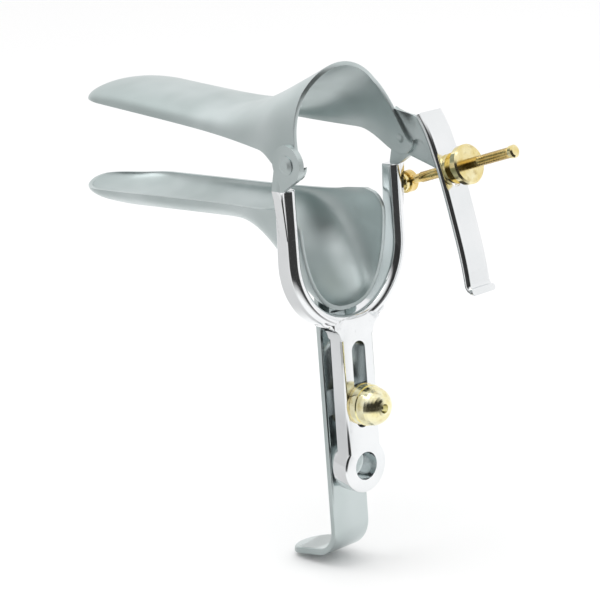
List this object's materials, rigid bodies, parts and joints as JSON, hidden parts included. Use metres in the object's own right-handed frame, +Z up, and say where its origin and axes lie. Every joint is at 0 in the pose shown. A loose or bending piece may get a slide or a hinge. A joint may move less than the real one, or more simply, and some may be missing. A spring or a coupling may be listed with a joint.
{
  "type": "vaginal speculum",
  "caption": "Bivalve vaginal speculum: two hinged steel blades on a U-shaped yoke, with a thumb lever, a slotted bar, a handle with a foot, and brass locking nuts on a rod and on a stud",
  "frame": {"origin": "centre of the hanging eye at the lower end of the yoke's bar, on the yoke's rear face", "axes": "+X out of the rear face towards the operator, with the blades pointing to -X; +Y the operator's right, where the thumb lever is; +Z up along the bar"},
  "size_m": [0.1759, 0.0653, 0.1731],
  "materials": {
    "steel": "polished stainless steel",
    "brass": "polished brass"
  },
  "bodies": {
    "lower_blade": {"lower_blade": "steel", "lower_handle": "steel", "clamp_stud": "steel"},
    "yoke": {"yoke": "steel", "pivot_rivet_left": "steel", "pivot_rivet_right": "steel", "rod_anchor_pin": "brass"},
    "upper_blade": {"upper_blade": "steel", "thumb_lever": "steel"},
    "eye_rod": {"eye_rod": "brass", "rod_stop": "brass"},
    "rod_nut": {"rod_nut": "brass"},
    "height_nut": {"height_nut": "brass", "height_washer": "brass"}
  },
  "joints": [
    {"name": "yoke_slide", "type": "slide", "parent": "lower_blade", "child": "yoke", "axis": [0, 0, 1], "range_m": [-0.0184, 0]},
    {"name": "blade_hinge", "type": "hinge", "parent": "yoke", "child": "upper_blade", "pos_m": [0.0019, 0, 0.1073], "axis": [0, 1, 0], "range_deg": [-6.5, 22]},
    {"name": "rod_swing", "type": "hinge", "parent": "yoke", "child": "eye_rod", "pos_m": [-0.00325, 0.0305, 0.0907], "axis": [0, 1, 0], "range_deg": [-6.6, 22.1]},
    {"name": "rod_nut_travel", "type": "slide", "parent": "eye_rod", "child": "rod_nut", "axis": [0.9578, 0, 0.2874], "range_m": [-0.0062, 0.0019]},
    {"name": "height_nut_turn", "type": "hinge", "parent": "lower_blade", "child": "height_nut", "pos_m": [0.001, 0, 0.0219], "axis": [1, 0, 0], "continuous": true}
  ],
  "couplings": [
    {"joint": "rod_swing", "follows": "blade_hinge", "ratio": 1},
    {"joint": "rod_nut_travel", "follows": "blade_hinge", "m_per_rad": -0.0159}
  ]
}
